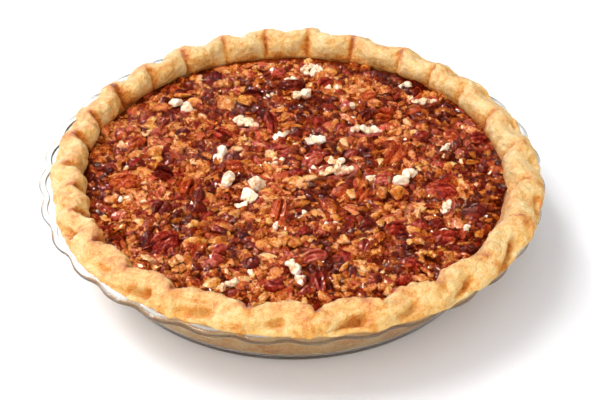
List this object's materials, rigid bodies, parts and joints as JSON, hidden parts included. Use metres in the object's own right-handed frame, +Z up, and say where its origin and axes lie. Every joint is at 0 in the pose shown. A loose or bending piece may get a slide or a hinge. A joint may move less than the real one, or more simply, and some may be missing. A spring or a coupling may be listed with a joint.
{
  "type": "pecan pie",
  "caption": "Whole baked nut pie with a hand-fluted pastry rim, in its clear glass pie dish with a scalloped flange.",
  "frame": {"origin": "middle of the dish's flat base, on the surface it stands on", "axes": "+Z up, -Y towards the pie's front, +X to its right"},
  "size_m": [0.261, 0.261, 0.0535],
  "materials": {
    "dish_glass": "clear, smooth pressed glass",
    "pastry": "matt baked shortcrust, pale gold with browner folds",
    "nut_filling": "chopped nuts in a glossy brown baked custard",
    "pecan": "glazed toasted nut skin, red-brown",
    "pecan_pale": "matt broken nut face, cream"
  },
  "bodies": {
    "root": {"glass_dish": "dish_glass", "crust": "pastry", "nut_filling": "nut_filling", "pecan_01": "pecan", "pecan_02": "pecan", "pecan_03": "pecan", "pecan_04": "pecan", "pecan_05": "pecan", "pecan_06": "pecan", "pecan_07": "pecan", "pecan_08": "pecan", "pecan_09": "pecan", "pecan_10": "pecan", "pecan_11": "pecan", "pecan_12": "pecan", "pecan_13": "pecan", "pecan_14": "pecan", "pecan_15": "pecan", "pecan_16": "pecan", "pecan_17": "pecan", "pecan_18": "pecan", "pecan_19": "pecan", "pecan_20": "pecan", "pecan_21": "pecan", "pecan_22": "pecan", "pecan_23": "pecan", "pecan_24": "pecan", "pecan_25": "pecan", "pecan_26": "pecan", "pecan_27": "pecan", "pecan_28": "pecan", "pecan_29": "pecan_pale", "pecan_30": "pecan_pale", "pecan_31": "pecan_pale", "pecan_32": "pecan_pale", "pecan_33": "pecan_pale", "pecan_34": "pecan", "pecan_35": "pecan", "pecan_36": "pecan_pale", "pecan_37": "pecan_pale", "pecan_38": "pecan_pale", "pecan_39": "pecan_pale", "pecan_40": "pecan", "pecan_41": "pecan", "pecan_42": "pecan", "pecan_43": "pecan_pale", "pecan_44": "pecan_pale", "pecan_45": "pecan_pale", "pecan_46": "pecan", "pecan_47": "pecan", "pecan_48": "pecan_pale", "pecan_49": "pecan"}
  },
  "joints": []
}
